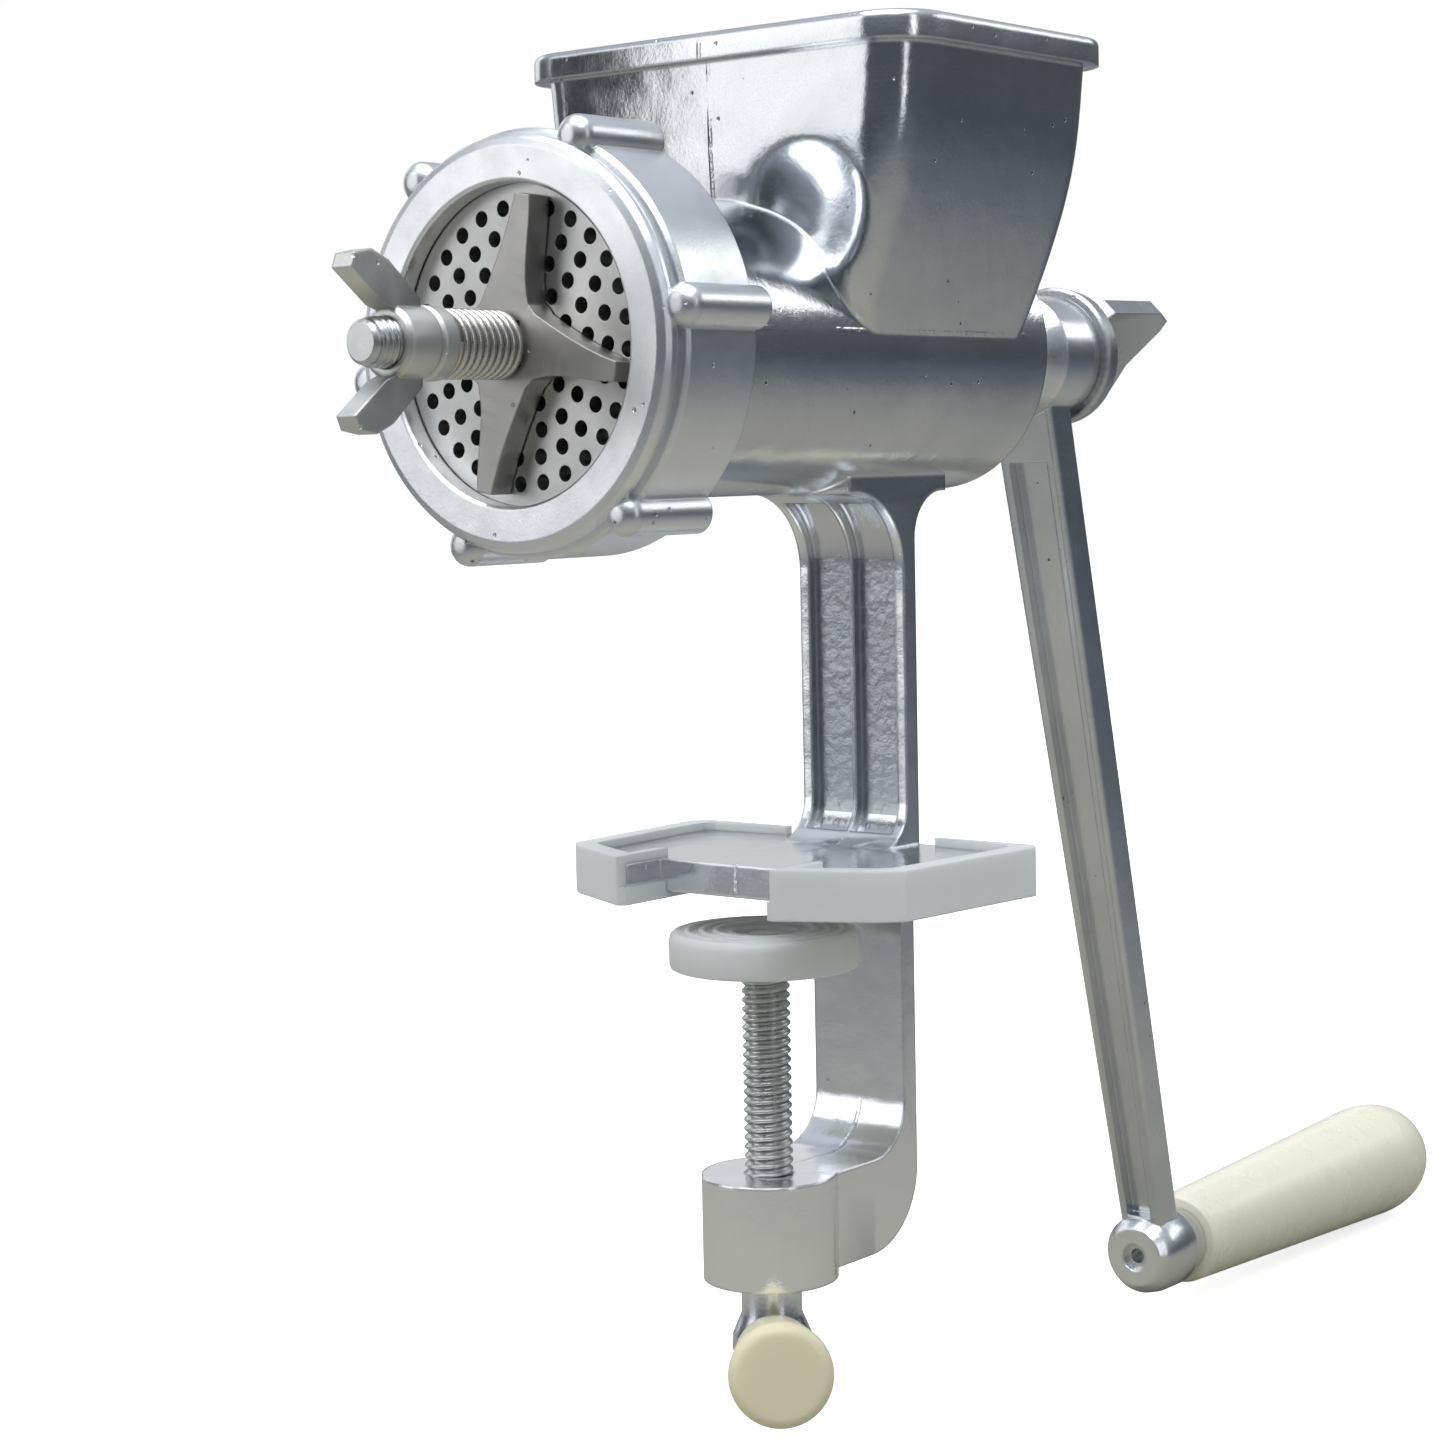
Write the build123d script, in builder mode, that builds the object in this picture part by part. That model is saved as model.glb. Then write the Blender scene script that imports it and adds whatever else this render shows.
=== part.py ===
from build123d import *
import math
import os

# Hand crank meat grinder that clamps to a table edge. Millimetres, +Z up.
# Origin: on the clamp screw axis, in the plane where the jaw pads rest on the table top.
# The barrel axis runs along Y: perforated plate towards -Y, crank towards +Y.

# Barrel and ring nut
axis_z = 122.5
front_y = -79.6
ring_depth = 27.0
ring_face_radius = 42.0
ring_skirt_radius = 43.4
ring_bore_radius = 40.0
ring_opening_radius = 32.5
ring_lip = 4.7
lobe_count = 6
lobe_radius = 4.4
lobe_centre_radius = 43.6
lobe_phase = 22.0
barrel_radius = 32.0
bore_radius = 28.0
mouth_radius = 39.2
mouth_y = front_y + 6.5
barrel_end_y = front_y + 151.0
rear_wall_y = front_y + 140.0
housing_end_y = front_y + 178.0
bush_radius = 10.0

# Plate, knife, stud and spring
plate_radius = 34.9
plate_y = front_y + 5.0
plate_thickness = 7.0
plate_hole_radius = 1.65
plate_rings = ((12.4, 12), (17.6, 18), (22.8, 23), (28.0, 28))
plate_key_radius = 1.5
knife_front_y = front_y - 1.0
knife_thickness = 5.7
square_half = 4.6
stud_radius = 5.0
stud_end_y = front_y - 40.5
spring_wire_radius = 0.85
spring_mean_radius = 6.2
spring_front_y = front_y - 20.6
spring_turns = 9.0
collar_length = 4.4
nut_length = 8.6
nut_radius = 7.2

# Auger
auger_front_y = plate_y + plate_thickness + 0.3
auger_rear_y = front_y + 138.4
auger_radius = 27.3
auger_core_radius = 9.5
auger_pitch = 34.0
journal_radius = 8.0
shaft_square = 11.0

# Hopper walls: height, half width, front y, rear y, corner radius
hopper_outer = (
    (124.0, 31.4, 0.0, 60.8, 5.0),
    (133.5, 36.8, -8.6, 61.8, 6.5),
    (145.0, 42.4, -11.6, 62.0, 8.0),
    (157.5, 47.1, -12.9, 62.3, 9.0),
    (171.0, 50.0, -13.4, 62.6, 9.5),
    (186.0, 51.5, -13.6, 62.9, 9.5),
)
hopper_inner = (
    (125.0, 23.5, 4.0, 52.0, 6.0),
    (133.0, 27.0, 3.2, 54.5, 7.0),
    (145.0, 36.4, -1.6, 57.0, 6.0),
    (157.5, 42.8, -5.4, 58.4, 6.5),
    (171.0, 46.2, -9.0, 59.2, 7.0),
    (191.0, 48.4, -10.6, 60.0, 7.5),
)
rim_bottom = 184.4
rim_height = 6.0
rim_half_width = 55.0
rim_front_y = -16.6
rim_rear_y = 65.6
rim_corner = 12.5

# Column, jaw and lower arm
column_half = 15.0
lower_arm_half = 13.0
column_y = 35.0
column_rear_y = 39.5
barrel_underside = 90.4
rib_half = 4.0
panel_half = 12.3
panel_floor_y = 37.5
seam_half = 0.5
rib_rear_y = 48.5
jaw_bottom = 1.5
jaw_top = 9.0
jaw_outline = (
    (21.5, -10.0),
    (21.5, -22.2),
    (40.8, -12.6),
    (44.2, -9.5),
    (46.5, 22.0),
    (46.5, 34.0),
    (43.0, 37.0),
    (15.0, 39.5),
)
pad_outline = (
    (20.0, -12.0),
    (20.0, -24.2),
    (21.8, -25.2),
    (42.4, -15.0),
    (47.0, -10.6),
    (50.0, 35.0),
    (47.0, 38.4),
    (20.0, 38.4),
)
pad_top = 11.0
pad_lip = 2.4
arm_top = -62.5
arm_bottom = -84.5
boss_radius = 15.4
boss_bottom = -86.5

# Clamp screw, foot and lever
screw_radius = 5.5
running = 0.05
foot_radius = 21.6
foot_top = -6.6
foot_bottom = -15.3
spigot_radius = 3.5
lever_heading = -48.5
lever_rise = 5.0
lever_z = -102.6
tenon_radius = 4.5
lever_pin_z = -96.0

# Crank
crank_length = 240.0
crank_root_y = front_y + 188.0
crank_foot_y = front_y + 247.0
crank_thickness = 10.0
hub_radius = 15.2
hub_front_y = front_y + 181.0
hub_rear_y = front_y + 200.0
grip_z = axis_z - crank_length
boss_front_y = front_y + 236.5
grip_start_y = front_y + 259.4
grip_length = 128.0
pin_radius = 3.6
paddle_angle = 45.0

barrel_axis = Axis((0, 0, axis_z), (0, 1, 0))
grip_axis = Axis((0, 0, grip_z), (0, 1, 0))


def across(y):
    """Plane across the barrel axis at y, with its normal towards -Y."""
    return Plane(origin=(0, y, axis_z), x_dir=(1, 0, 0), z_dir=(0, -1, 0))


def across_grip(y):
    """Plane across the crank grip axis at y, with its normal towards -Y."""
    return Plane(origin=(0, y, grip_z), x_dir=(1, 0, 0), z_dir=(0, -1, 0))


def above(height, points):
    """Profile points given as y and radius about an axis at a height."""
    return [(y, height + radius) for y, radius in points]


def mirrored(points):
    """Points of a right half, continued by their mirror image."""
    return list(points) + [(-x, y) for x, y in reversed(points)]


with BuildPart() as main_casting:
    # Hopper walls widen from the barrel flanks up to the rim
    for height, half, front, rear, corner in hopper_outer:
        with BuildSketch(Plane.XY.offset(height)):
            with Locations((0, (front + rear) / 2)):
                RectangleRounded(2 * half, rear - front, corner)
    loft()
    with BuildSketch(Plane.XY.offset(rim_bottom)):
        with Locations((0, (rim_front_y + rim_rear_y) / 2)):
            RectangleRounded(2 * rim_half_width, rim_rear_y - rim_front_y, rim_corner)
    extrude(amount=rim_height)
    fillet(main_casting.faces().sort_by(Axis.Z)[-1].edges(), radius=1.8)
    # Shallow hollows low on the hopper front, left and right
    with Locations((25.0, -31.4, 149.5), (-25.0, -31.4, 149.5)):
        Sphere(24.0, mode=Mode.SUBTRACT)
    hollow_edges = main_casting.edges(Select.LAST)
    fillet(hollow_edges, radius=5.0)
    # Barrel with its threaded mouth and the tapered rear bearing housing
    barrel_profile = (
        (mouth_y, 0),
        (mouth_y, mouth_radius - 0.8),
        (mouth_y + 0.8, mouth_radius),
        (mouth_y + 17.0, mouth_radius),
        (mouth_y + 19.5, barrel_radius),
        (barrel_end_y - 1.5, barrel_radius),
        (barrel_end_y, barrel_radius - 1.5),
        (barrel_end_y, 21.0),
        (housing_end_y - 1.0, 13.4),
        (housing_end_y, 12.4),
        (housing_end_y, 0),
    )
    with BuildSketch(Plane.YZ):
        with BuildLine():
            Polyline(*above(axis_z, barrel_profile), close=True)
        make_face()
    revolve(axis=barrel_axis)
    # Column, corner and lower arm share one side profile
    with BuildSketch(Plane.YZ):
        with BuildLine():
            Polyline((52.0, 99.0), (15.0, 99.0), (15.0, barrel_underside), (17.0, barrel_underside))
            ThreePointArc((17.0, barrel_underside), (29.73, 85.13), (column_y, 72.4))
            Line((column_y, 72.4), (column_y, -50.5))
            ThreePointArc((column_y, -50.5), (31.49, -58.99), (23.0, arm_top))
            Polyline((23.0, arm_top), (0, arm_top), (0, arm_bottom), (21.5, arm_bottom))
            ThreePointArc((21.5, arm_bottom), (34.23, -79.23), (column_rear_y, -66.5))
            Line((column_rear_y, -66.5), (column_rear_y, 79.4))
            ThreePointArc((column_rear_y, 79.4), (42.72, 87.18), (50.5, barrel_underside))
            Polyline((50.5, barrel_underside), (52.0, barrel_underside), (52.0, 99.0))
        make_face()
    extrude(amount=column_half, both=True)
    # The lower arm is a little narrower than the column
    for side in (1, -1):
        with BuildSketch(Plane.YZ.offset(side * lower_arm_half)):
            with Locations((20.0, -45.0)):
                Rectangle(60.0, 90.0)
        extrude(amount=side * (column_half - lower_arm_half), mode=Mode.SUBTRACT)
    # Rib down the back of the column
    with BuildSketch(Plane.YZ):
        with BuildLine():
            Polyline(
                (38.0, -60.0),
                (rib_rear_y, -36.0),
                (rib_rear_y, 76.0),
                (58.0, 91.5),
                (58.0, 97.0),
                (38.0, 97.0),
                close=True,
            )
        make_face()
    extrude(amount=rib_half, both=True)
    # Jaw plate with two arms either side of the notch
    with BuildSketch(Plane.XY.offset(jaw_bottom)):
        with BuildLine():
            Polyline(*mirrored(jaw_outline), close=True)
        make_face()
    extrude(amount=jaw_top - jaw_bottom)
    with BuildSketch(Plane.YZ):
        with BuildLine():
            Polyline((25.0, jaw_top), (36.0, jaw_top), (36.0, 19.0), (column_y, 19.0))
            ThreePointArc((column_y, 19.0), (32.07, 11.93), (25.0, jaw_top))
        make_face()
    extrude(amount=column_half, both=True)
    # Sunk panels down the front of the column, left and right of a centre seam
    for side in (1, -1):
        with BuildSketch(Plane.YZ.offset(side * seam_half)):
            with BuildLine():
                ThreePointArc((33.84, 10.16), (36.55, 14.22), (panel_floor_y, 19.0))
                Line((panel_floor_y, 19.0), (panel_floor_y, 72.4))
                ThreePointArc((panel_floor_y, 72.4), (34.75, 82.65), (27.25, 90.15))
                Polyline((27.25, 90.15), (24.0, 84.5), (30.0, 72.4), (30.0, 14.0), (33.84, 10.16))
            make_face()
        extrude(amount=side * (panel_half - seam_half), mode=Mode.SUBTRACT)
    # Boss for the clamp screw
    with BuildSketch(Plane.XY.offset(boss_bottom)):
        Circle(boss_radius)
    extrude(amount=arm_top - boss_bottom)
    with BuildSketch(Plane.XY.offset(boss_bottom)):
        Circle(screw_radius + running)
    extrude(amount=arm_top - boss_bottom, mode=Mode.SUBTRACT)
    # Hopper interior, barrel bore, plate seat and bush bore
    for height, half, front, rear, corner in hopper_inner:
        with BuildSketch(Plane.XY.offset(height)):
            with Locations((0, (front + rear) / 2)):
                RectangleRounded(2 * half, rear - front, corner)
    loft(mode=Mode.SUBTRACT)
    with BuildSketch(across(rear_wall_y)):
        Circle(bore_radius)
    extrude(amount=rear_wall_y - mouth_y, mode=Mode.SUBTRACT)
    with BuildSketch(across(plate_y + plate_thickness)):
        Circle(plate_radius + 0.05)
    extrude(amount=plate_thickness, mode=Mode.SUBTRACT)
    with BuildSketch(across(housing_end_y)):
        Circle(bush_radius)
    extrude(amount=housing_end_y - rear_wall_y, mode=Mode.SUBTRACT)
    # Hole for the key that stops the plate from turning
    with BuildSketch(across(plate_y + plate_thickness + 6.0)):
        with Locations((0, -plate_radius)):
            Circle(plate_key_radius)
    extrude(amount=plate_thickness + 6.0, mode=Mode.SUBTRACT)


with BuildPart() as plate_key:
    with BuildSketch(across(plate_y + plate_thickness + 6.0)):
        with Locations((0, -plate_radius)):
            Circle(plate_key_radius)
    extrude(amount=12.0)


with BuildPart() as rear_bush:
    with BuildSketch(across(housing_end_y)):
        Circle(bush_radius)
        Circle(journal_radius + running, mode=Mode.SUBTRACT)
    extrude(amount=housing_end_y - rear_wall_y)


with BuildPart() as ring_nut:
    # Grip lobes with round front ends, then the ring over them
    with BuildSketch(across(front_y + 26.2)):
        with PolarLocations(lobe_centre_radius, lobe_count, start_angle=90.0 - lobe_phase):
            Circle(lobe_radius)
    extrude(amount=24.6)
    fillet(ring_nut.edges().group_by(Axis.Y)[0], radius=3.4)
    ring_profile = (
        (front_y, ring_opening_radius + 0.6),
        (front_y, 39.6),
        (front_y + 0.7, 41.2),
        (front_y + 2.0, ring_face_radius),
        (front_y + 3.2, ring_face_radius),
        (front_y + 3.6, 41.1),
        (front_y + 4.4, 41.1),
        (front_y + 5.0, 42.7),
        (front_y + 6.0, ring_skirt_radius),
        (front_y + 26.0, ring_skirt_radius),
        (front_y + ring_depth, 42.5),
        (front_y + ring_depth, ring_opening_radius),
        (front_y + 0.6, ring_opening_radius),
    )
    with BuildSketch(Plane.YZ):
        with BuildLine():
            Polyline(*above(axis_z, ring_profile), close=True)
        make_face()
    revolve(axis=barrel_axis)
    with BuildSketch(across(front_y + ring_depth)):
        Circle(ring_bore_radius)
    extrude(amount=ring_depth - ring_lip, mode=Mode.SUBTRACT)


with BuildPart() as die_plate:
    with BuildSketch(across(plate_y + plate_thickness)):
        Circle(plate_radius)
        Circle(6.6, mode=Mode.SUBTRACT)
        with Locations((0, -plate_radius)):
            Circle(plate_key_radius, mode=Mode.SUBTRACT)
        for ring_radius, hole_count in plate_rings:
            with PolarLocations(ring_radius, hole_count, start_angle=7.0 + ring_radius):
                Circle(plate_hole_radius, mode=Mode.SUBTRACT)
    extrude(amount=plate_thickness)


with BuildPart() as cutter_knife:
    # Four tapered blades, each offset clockwise of the centre
    with BuildSketch(across(knife_front_y + knife_thickness)):
        Circle(10.5)
        for quarter in range(4):
            with Locations(Rot(0, 0, 90.0 * quarter + 2.0)):
                with BuildLine(mode=Mode.PRIVATE) as blade_line:
                    Spline((-7.2, 6.2), (-3.2, 12.6), (1.6, 21.0), (5.4, 29.8))
                    Line((5.4, 29.8), (9.2, 28.9))
                    Spline((9.2, 28.9), (8.0, 20.0), (7.0, 12.6), (7.6, 6.6))
                    Polyline((7.6, 6.6), (0, 0), (-7.2, 6.2))
                add(make_face(blade_line.edges(), mode=Mode.PRIVATE))
        Rectangle(2 * square_half + 0.1, 2 * square_half + 0.1, mode=Mode.SUBTRACT)
    extrude(amount=knife_thickness)


with BuildPart() as front_stud:
    # Shank in the auger, journal in the plate, square for the knife, then the thread
    with BuildSketch(across(auger_front_y + 24.0)):
        Circle(5.5)
    extrude(amount=24.0)
    with BuildSketch(across(auger_front_y)):
        Circle(6.5)
    extrude(amount=auger_front_y - plate_y - 0.2)
    with BuildSketch(across(plate_y + 0.2)):
        Rectangle(2 * square_half, 2 * square_half)
    extrude(amount=plate_y + 0.2 - knife_front_y)
    with BuildSketch(across(knife_front_y)):
        Circle(stud_radius)
    extrude(amount=knife_front_y - stud_end_y)
    chamfer(front_stud.edges().group_by(Axis.Y)[0], length=1.0)


with BuildPart() as pressure_spring:
    spring_length = knife_front_y - spring_front_y - 2 * spring_wire_radius - 0.1
    with BuildLine() as spring_path:
        Helix(
            pitch=spring_length / spring_turns,
            height=spring_length,
            radius=spring_mean_radius,
            center=(0, spring_front_y + spring_wire_radius + 0.05, axis_z),
            direction=(0, 1, 0),
        )
    with BuildSketch(Plane(origin=spring_path.line @ 0, z_dir=spring_path.line % 0)):
        Circle(spring_wire_radius)
    sweep(is_frenet=True)


with BuildPart() as spring_collar:
    with BuildSketch(across(spring_front_y)):
        Circle(nut_radius + 0.2)
        Circle(stud_radius + running, mode=Mode.SUBTRACT)
    extrude(amount=collar_length)
    chamfer(spring_collar.edges().group_by(Axis.Y)[0].sort_by(SortBy.RADIUS)[-1], length=0.8)


with BuildPart() as wing_nut:
    nut_rear_y = spring_front_y - collar_length - 0.3
    with BuildSketch(across(nut_rear_y)):
        Circle(nut_radius)
    extrude(amount=nut_length)
    chamfer(wing_nut.edges().group_by(Axis.Y)[0], length=1.0)
    # Two flat wings flare forward, above and below
    for side in (1, -1):
        with BuildSketch(Plane.YZ):
            with BuildLine():
                Polyline(
                    (nut_rear_y - 0.8, axis_z + side * 3.0),
                    (nut_rear_y - 1.4, axis_z + side * 8.6),
                    (nut_rear_y - 9.5, axis_z + side * 15.6),
                    (nut_rear_y - 14.0, axis_z + side * 17.6),
                    (nut_rear_y - 18.4, axis_z + side * 16.8),
                    (nut_rear_y - 19.6, axis_z + side * 14.0),
                    (nut_rear_y - 11.0, axis_z + side * 7.2),
                    (nut_rear_y - 8.2, axis_z + side * 6.2),
                    (nut_rear_y - 8.2, axis_z + side * 3.0),
                    close=True,
                )
            make_face()
        extrude(amount=2.6, both=True)
    with BuildSketch(across(nut_rear_y)):
        Circle(stud_radius + running)
    extrude(amount=nut_length, mode=Mode.SUBTRACT)


# Feeding flight: a narrow sector drawn along the axis while it turns
flight_length = auger_rear_y - auger_front_y - 7.0
with BuildSketch(across(auger_rear_y - 7.0)) as flight_section:
    with BuildLine():
        half_angle = 18.0
        flank = PolarLine((0, 0), auger_radius, 90.0 - half_angle)
        rim = CenterArc((0, 0), auger_radius, 90.0 - half_angle, 2 * half_angle)
        Line(rim @ 1, flank @ 0)
    make_face()
    Circle(auger_core_radius - 0.5)
flight = Solid.extrude_linear_with_rotation(
    flight_section.sketch.faces()[0],
    center=Vector(0, auger_rear_y - 7.0, axis_z),
    normal=Vector(0, -flight_length, 0),
    angle=360.0 * flight_length / auger_pitch,
)


with BuildPart() as auger:
    # Core, thrust shoulder, bearing journal and square end for the crank
    auger_profile = (
        (auger_front_y, 0),
        (auger_front_y, auger_core_radius - 1.0),
        (auger_front_y + 1.0, auger_core_radius),
        (auger_rear_y - 8.0, auger_core_radius + 2.0),
        (auger_rear_y - 6.0, 14.0),
        (auger_rear_y, 14.0),
        (auger_rear_y, journal_radius),
        (housing_end_y + 1.0, journal_radius),
        (housing_end_y + 1.0, 0),
    )
    with BuildSketch(Plane.YZ):
        with BuildLine():
            Polyline(*above(axis_z, auger_profile), close=True)
        make_face()
    revolve(axis=barrel_axis)
    with BuildSketch(across(hub_rear_y - 1.0)):
        Rectangle(shaft_square, shaft_square)
    extrude(amount=hub_rear_y - housing_end_y - 1.0)
    add(flight)
    # Threaded holes for the stud and the crank screw
    with BuildSketch(across(auger_front_y + 24.0)):
        Circle(5.5)
    extrude(amount=24.0, mode=Mode.SUBTRACT)
    with BuildSketch(across(hub_rear_y - 1.0)):
        Circle(4.0 + running)
    extrude(amount=22.0, mode=Mode.SUBTRACT)


with BuildPart() as thrust_washer:
    with BuildSketch(across(rear_wall_y - 0.1)):
        Circle(13.0)
        Circle(journal_radius + running, mode=Mode.SUBTRACT)
    extrude(amount=1.5)


with BuildPart() as crank_arm:
    slant = math.atan2(crank_foot_y - crank_root_y, crank_length)
    reach = math.hypot(crank_foot_y - crank_root_y, crank_length)
    arm_plane = Plane(
        origin=(0, crank_root_y, axis_z),
        x_dir=(1, 0, 0),
        z_dir=(0, -math.cos(slant), -math.sin(slant)),
    )
    with BuildSketch(arm_plane):
        with BuildLine():
            Polyline((9.0, 0), (6.2, -reach), (-6.2, -reach), (-9.0, 0), close=True)
        make_face()
    extrude(amount=crank_thickness / 2, both=True)
    fillet(crank_arm.edges().filter_by(lambda e: e.length > 200.0), radius=1.6)
    # Sunk panel along the front of the arm
    with BuildSketch(arm_plane.offset(crank_thickness / 2)):
        with BuildLine():
            Polyline((5.6, -26.0), (3.6, 12.0 - reach), (-3.6, 12.0 - reach), (-5.6, -26.0), close=True)
        make_face()
    extrude(amount=-3.0, mode=Mode.SUBTRACT)
    # Hub on the shaft square and boss for the grip pin
    hub_profile = (
        (hub_front_y, 0),
        (hub_front_y, 11.2),
        (hub_front_y + 4.0, hub_radius),
        (hub_rear_y - 0.4, hub_radius),
        (hub_rear_y, hub_radius - 0.4),
        (hub_rear_y, 0),
    )
    with BuildSketch(Plane.YZ):
        with BuildLine():
            Polyline(*above(axis_z, hub_profile), close=True)
        make_face()
    revolve(axis=barrel_axis)
    boss_profile = (
        (boss_front_y, 0),
        (boss_front_y, 7.8),
        (boss_front_y + 3.4, 10.4),
        (boss_front_y + 7.0, 11.0),
        (boss_front_y + 15.0, 11.0),
        (boss_front_y + 19.0, 9.6),
        (grip_start_y - 0.5, 9.0),
        (grip_start_y - 0.5, 0),
    )
    with BuildSketch(Plane.YZ):
        with BuildLine():
            Polyline(*above(grip_z, boss_profile), close=True)
        make_face()
    revolve(axis=grip_axis)
    with BuildSketch(across(hub_rear_y)):
        Rectangle(shaft_square + 0.1, shaft_square + 0.1)
    extrude(amount=hub_rear_y - hub_front_y, mode=Mode.SUBTRACT)
    with BuildSketch(across_grip(grip_start_y)):
        Circle(pin_radius)
    extrude(amount=grip_start_y - boss_front_y, mode=Mode.SUBTRACT)


with BuildPart() as crank_screw:
    # Flange with a wide flat paddle behind it and a shank in the shaft end
    flange_profile = (
        (hub_rear_y + 0.1, 0),
        (hub_rear_y + 0.1, 16.6),
        (hub_rear_y + 0.9, 17.4),
        (hub_rear_y + 5.0, 17.0),
        (hub_rear_y + 7.5, 13.0),
        (hub_rear_y + 7.5, 0),
    )
    with BuildSketch(Plane.YZ):
        with BuildLine():
            Polyline(*above(axis_z, flange_profile), close=True)
        make_face()
    revolve(axis=barrel_axis)
    with BuildSketch(across(hub_rear_y + 1.0)):
        Circle(4.0)
    extrude(amount=18.0)
    turn = math.radians(paddle_angle)
    paddle_plane = Plane(
        origin=(0, 0, axis_z),
        x_dir=(0, 1, 0),
        z_dir=(math.sin(turn), 0, -math.cos(turn)),
    )
    paddle_right = (
        (hub_rear_y + 4.0, 11.0),
        (hub_rear_y + 9.0, 17.4),
        (hub_rear_y + 31.0, 17.8),
        (hub_rear_y + 36.5, 15.4),
        (hub_rear_y + 37.0, 12.0),
        (hub_rear_y + 34.0, 0),
    )
    paddle_left = [(y, -radius) for y, radius in reversed(paddle_right[:-1])]
    with BuildSketch(paddle_plane):
        with BuildLine():
            Polyline(*paddle_right, *paddle_left, close=True)
        make_face()
    extrude(amount=2.4, both=True)


with BuildPart() as grip_pin:
    # Riveted in the arm boss, with a head sunk in the far end of the grip
    with BuildSketch(across_grip(grip_start_y + grip_length - 8.0)):
        Circle(pin_radius)
    extrude(amount=grip_start_y + grip_length - 8.0 - boss_front_y - 1.8)
    with BuildSketch(across_grip(grip_start_y + grip_length - 4.0)):
        Circle(6.0)
    extrude(amount=4.0)
    with BuildSketch(across_grip(boss_front_y + 5.0)):
        Circle(2.0)
    extrude(amount=5.0, mode=Mode.SUBTRACT)


with BuildPart() as crank_grip:
    # Long tapered grip, thicker and rounded at the far end
    grip_end_y = grip_start_y + grip_length
    shoulder = (grip_end_y - 20.0, grip_z + 16.4)
    with BuildSketch(Plane.YZ):
        with BuildLine():
            Polyline(
                (grip_start_y, grip_z),
                (grip_start_y, grip_z + 11.2),
                (grip_start_y + 1.2, grip_z + 12.2),
                shoulder,
            )
            Bezier(
                shoulder,
                (grip_end_y - 9.0, grip_z + 16.9),
                (grip_end_y, grip_z + 14.5),
                (grip_end_y, grip_z + 7.6),
            )
            Polyline((grip_end_y, grip_z + 7.6), (grip_end_y, grip_z), (grip_start_y, grip_z))
        make_face()
    revolve(axis=grip_axis)
    with BuildSketch(across_grip(grip_start_y + grip_length)):
        Circle(pin_radius + running)
    extrude(amount=grip_length, mode=Mode.SUBTRACT)
    with BuildSketch(across_grip(grip_start_y + grip_length)):
        Circle(6.4)
    extrude(amount=8.3, mode=Mode.SUBTRACT)


with BuildPart() as jaw_pad_right:
    # Plastic shoe under and around the right jaw arm
    with BuildSketch(Plane.XY):
        with BuildLine():
            Polyline(*pad_outline, close=True)
        make_face()
    extrude(amount=pad_top)
    with BuildSketch(Plane.XY.offset(jaw_bottom)):
        with BuildLine():
            Polyline(*mirrored(jaw_outline), close=True)
        make_face()
    extrude(amount=jaw_top - jaw_bottom, mode=Mode.SUBTRACT)
    with BuildSketch(Plane.XY.offset(jaw_top)):
        with BuildLine():
            Polyline(*mirrored(jaw_outline), close=True)
        make_face()
        offset(amount=-pad_lip)
    extrude(amount=pad_top - jaw_top, mode=Mode.SUBTRACT)
    with BuildSketch(Plane.XY.offset(4.0)):
        with Locations((10.75, 10.0)):
            Rectangle(21.5, 80.0)
    extrude(amount=pad_top, mode=Mode.SUBTRACT)


with BuildPart() as jaw_pad_left:
    mirror(jaw_pad_right.part, about=Plane.YZ)


with BuildPart() as clamp_foot:
    with BuildSketch(Plane.XY.offset(foot_bottom)):
        Circle(foot_radius)
    extrude(amount=foot_top - foot_bottom)
    fillet(clamp_foot.edges().group_by(Axis.Z)[-1], radius=2.2)
    fillet(clamp_foot.edges().group_by(Axis.Z)[0], radius=0.9)
    with BuildSketch(Plane.XY.offset(foot_bottom)):
        Circle(spigot_radius + running)
    extrude(amount=foot_top - foot_bottom, mode=Mode.SUBTRACT)
    with BuildSketch(Plane.XY.offset(foot_top)):
        Circle(7.0)
    extrude(amount=-3.4, mode=Mode.SUBTRACT)


with BuildPart() as foot_retainer:
    with BuildSketch(Plane.XY.offset(foot_top - 3.1)):
        Circle(6.0)
        Circle(spigot_radius, mode=Mode.SUBTRACT)
    extrude(amount=1.6)


with BuildPart() as clamp_screw:
    screw_profile = (
        (0, foot_top - 1.0),
        (spigot_radius - 0.5, foot_top - 1.0),
        (spigot_radius, foot_top - 1.5),
        (spigot_radius, foot_bottom - 0.1),
        (screw_radius, foot_bottom - 0.1),
        (screw_radius, boss_bottom - 0.4),
        (tenon_radius, boss_bottom - 0.4),
        (tenon_radius, lever_z - 5.0),
        (0, lever_z - 5.0),
    )
    with BuildSketch(Plane.XZ):
        with BuildLine():
            Polyline(*screw_profile, close=True)
        make_face()
    revolve(axis=Axis.Z)
    with BuildSketch(Plane.YZ.rotated((0, 0, lever_heading))):
        with Locations((0, lever_pin_z)):
            Circle(1.5)
    extrude(amount=20.0, both=True, mode=Mode.SUBTRACT)


heading = math.radians(lever_heading)
rise = math.radians(lever_rise)
lever_direction = (
    math.cos(heading) * math.cos(rise),
    math.sin(heading) * math.cos(rise),
    math.sin(rise),
)


def along_lever(distance):
    """Plane across the clamp lever at a distance from the screw axis."""
    start = tuple(distance * part for part in lever_direction)
    return Plane(origin=(start[0], start[1], lever_z + start[2]), z_dir=lever_direction)


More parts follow.
